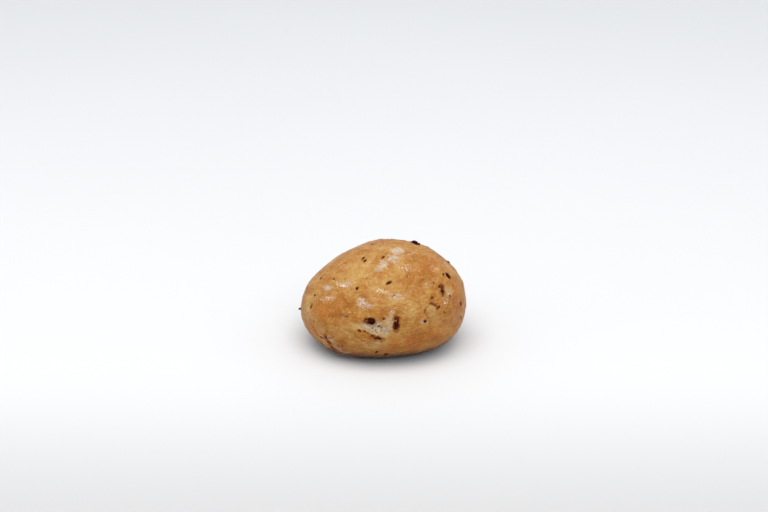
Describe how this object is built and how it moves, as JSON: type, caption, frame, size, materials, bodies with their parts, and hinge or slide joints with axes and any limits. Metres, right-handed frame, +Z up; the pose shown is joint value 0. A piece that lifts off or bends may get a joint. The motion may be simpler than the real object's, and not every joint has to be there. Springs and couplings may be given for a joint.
{
  "type": "bread roll",
  "caption": "Uncut round bread roll with a golden browned crust, a flat baked base and dark pieces of dried fruit showing at the surface.",
  "frame": {"origin": "bottom centre of the roll's box, on the surface it rests on", "axes": "+X to the right along the roll's widest extent, +Y to the back, +Z up"},
  "size_m": [0.0912, 0.0848, 0.055],
  "materials": {
    "crust": "golden-brown baked crust, dry and slightly glossy on the crown, paler at the tears, darker round the base",
    "fruit": "dark red-brown dried fruit, wrinkled, baked nearly black at the edges"
  },
  "bodies": {
    "root": {"roll_body": "crust", "fruit_bit_front_left": "fruit", "fruit_bit_front_right": "fruit", "fruit_bit_low_front": "fruit", "fruit_bit_right": "fruit", "fruit_bit_crown": "fruit", "fruit_bit_low_left": "fruit", "fruit_bit_back_high": "fruit", "fruit_bit_back_low": "fruit", "fruit_bit_back_left": "fruit", "fruit_bit_back_right": "fruit"}
  },
  "joints": []
}
